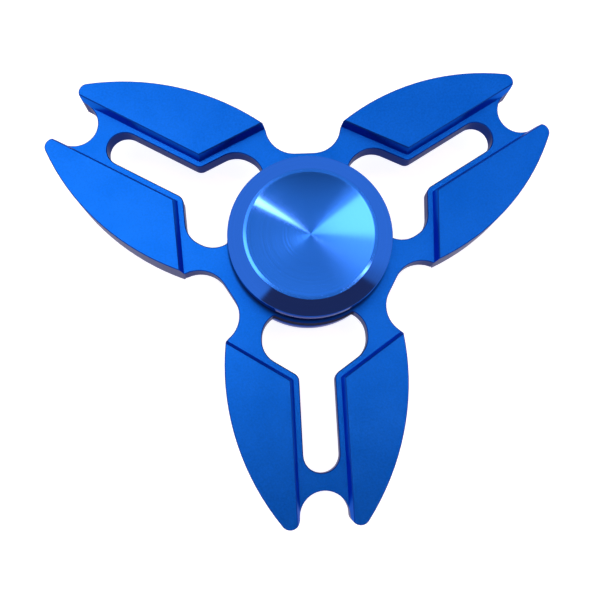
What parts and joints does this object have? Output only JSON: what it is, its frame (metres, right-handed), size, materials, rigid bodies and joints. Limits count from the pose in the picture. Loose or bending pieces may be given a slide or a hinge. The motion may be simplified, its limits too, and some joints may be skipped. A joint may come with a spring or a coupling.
{
  "type": "fidget spinner",
  "caption": "Three-armed fidget spinner with claw-shaped slotted arms, raised pads, a central ball bearing and round dished finger caps.",
  "frame": {"origin": "on the spin axis at mid thickness, halfway between the two finger caps' outer faces", "axes": "+Z along the spin axis, out of the upper finger cap; -Y along one of the three arms; +X to the right of it"},
  "size_m": [0.0702, 0.0613, 0.0128],
  "materials": {
    "arm_blue": "fine bead-blasted, anodised blue",
    "cap_blue": "fine turned, anodised blue",
    "bearing_steel": "ground bearing steel",
    "ball_steel": "polished bearing steel",
    "cage_steel": "stamped stainless steel",
    "shield_steel": "stamped stainless steel, satin",
    "wire_steel": "drawn spring wire"
  },
  "bodies": {
    "finger_caps": {"upper_cap": "cap_blue", "lower_cap": "cap_blue", "bearing_inner_ring": "bearing_steel"},
    "rotor": {"arm_frame": "arm_blue", "bearing_outer_ring": "bearing_steel", "upper_shield": "shield_steel", "lower_shield": "shield_steel", "upper_snap_wire": "wire_steel", "lower_snap_wire": "wire_steel"},
    "ball_train": {"ball_cage": "cage_steel", "ball_01": "ball_steel", "ball_02": "ball_steel", "ball_03": "ball_steel", "ball_04": "ball_steel", "ball_05": "ball_steel", "ball_06": "ball_steel", "ball_07": "ball_steel", "ball_08": "ball_steel", "ball_09": "ball_steel", "ball_10": "ball_steel"}
  },
  "joints": [
    {"name": "spin", "type": "hinge", "parent": "finger_caps", "child": "rotor", "pos_m": [0, 0, 0], "axis": [0, 0, 1], "continuous": true},
    {"name": "ball_orbit", "type": "hinge", "parent": "finger_caps", "child": "ball_train", "pos_m": [0, 0, 0], "axis": [0, 0, 1], "continuous": true}
  ],
  "couplings": [
    {"joint": "ball_orbit", "follows": "spin", "ratio": 0.5834}
  ]
}
